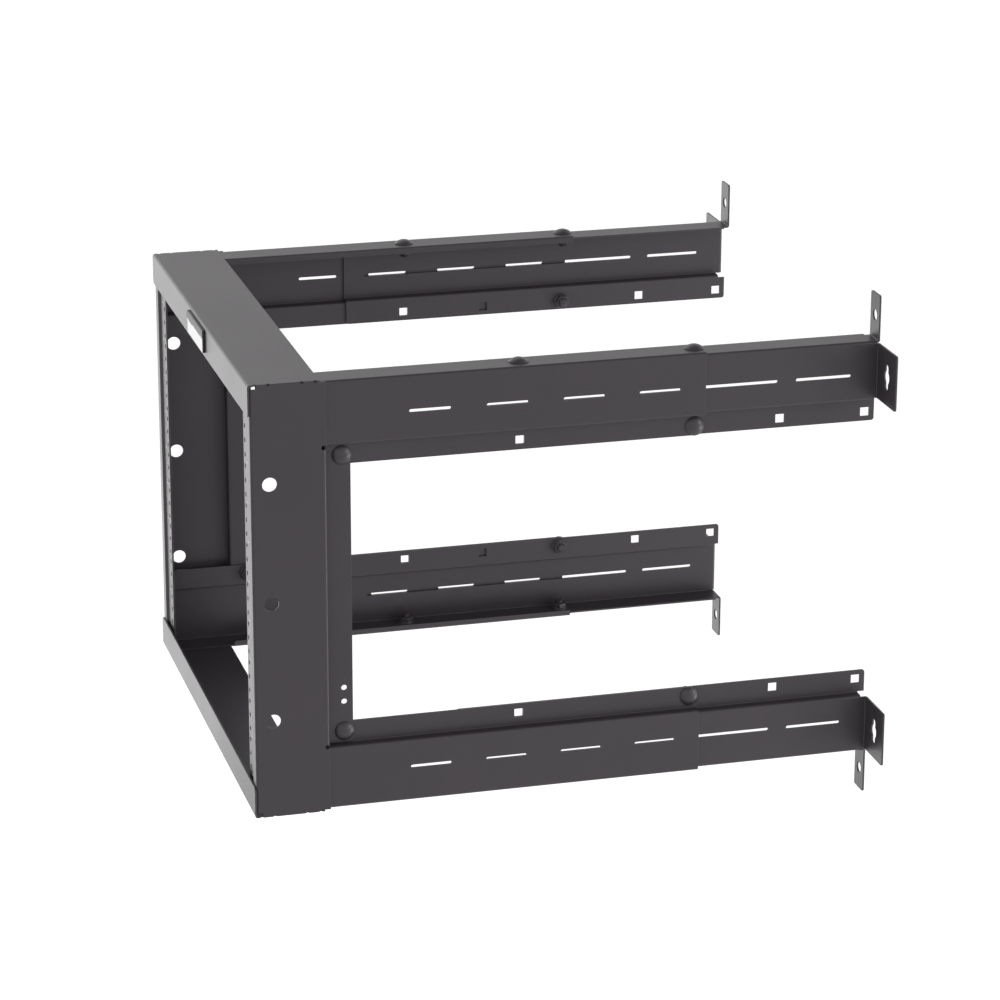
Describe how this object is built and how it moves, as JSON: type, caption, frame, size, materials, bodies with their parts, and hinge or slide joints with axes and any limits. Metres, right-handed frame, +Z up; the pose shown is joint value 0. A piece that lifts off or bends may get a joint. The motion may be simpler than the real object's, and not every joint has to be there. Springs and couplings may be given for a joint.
{
  "type": "wall mount open frame rack",
  "caption": "Open steel equipment frame that bolts to a wall, with pierced mounting rails in front and arms that telescope in depth.",
  "frame": {"origin": "middle of the wall plane, halfway between the four wall keyholes", "axes": "+Y into the wall, +X to the right as seen from the front, +Z up"},
  "size_m": [0.6514, 0.703, 0.5794],
  "materials": {
    "powder_coat": "semi-gloss black powder coat with a fine even texture",
    "bolt": "black plated steel",
    "nut": "black plated steel, worn bright on the thread",
    "badge": "smooth dark plastic plate, left blank"
  },
  "bodies": {
    "root": {"crossbar_top": "powder_coat", "crossbar_bottom": "powder_coat", "column_right": "powder_coat", "column_left": "powder_coat", "badge_plate": "badge", "fixed_arm_upper_right": "powder_coat", "fixed_arm_upper_left": "powder_coat", "fixed_arm_lower_right": "powder_coat", "fixed_arm_lower_left": "powder_coat", "wall_arm_upper_right": "powder_coat", "wall_arm_upper_left": "powder_coat", "wall_arm_lower_right": "powder_coat", "wall_arm_lower_left": "powder_coat", "corner_bolt_upper_right": "bolt", "corner_bolt_upper_left": "bolt", "corner_bolt_lower_right": "bolt", "corner_bolt_lower_left": "bolt", "corner_nut_upper_right": "nut", "corner_nut_upper_left": "nut", "corner_nut_lower_right": "nut", "corner_nut_lower_left": "nut", "lip_bolt_upper_right": "bolt", "lip_bolt_upper_left": "bolt", "lip_bolt_lower_right": "bolt", "lip_bolt_lower_left": "bolt", "lip_nut_upper_right": "nut", "lip_nut_upper_left": "nut", "lip_nut_lower_right": "nut", "lip_nut_lower_left": "nut", "flange_front_bolt_upper_right": "bolt", "flange_front_bolt_upper_left": "bolt", "flange_front_bolt_lower_right": "bolt", "flange_front_bolt_lower_left": "bolt", "flange_front_nut_upper_right": "nut", "flange_front_nut_upper_left": "nut", "flange_front_nut_lower_right": "nut", "flange_front_nut_lower_left": "nut", "flange_rear_bolt_upper_right": "bolt", "flange_rear_bolt_upper_left": "bolt", "flange_rear_bolt_lower_right": "bolt", "flange_rear_bolt_lower_left": "bolt", "flange_rear_nut_upper_right": "nut", "flange_rear_nut_upper_left": "nut", "flange_rear_nut_lower_right": "nut", "flange_rear_nut_lower_left": "nut"}
  },
  "joints": []
}
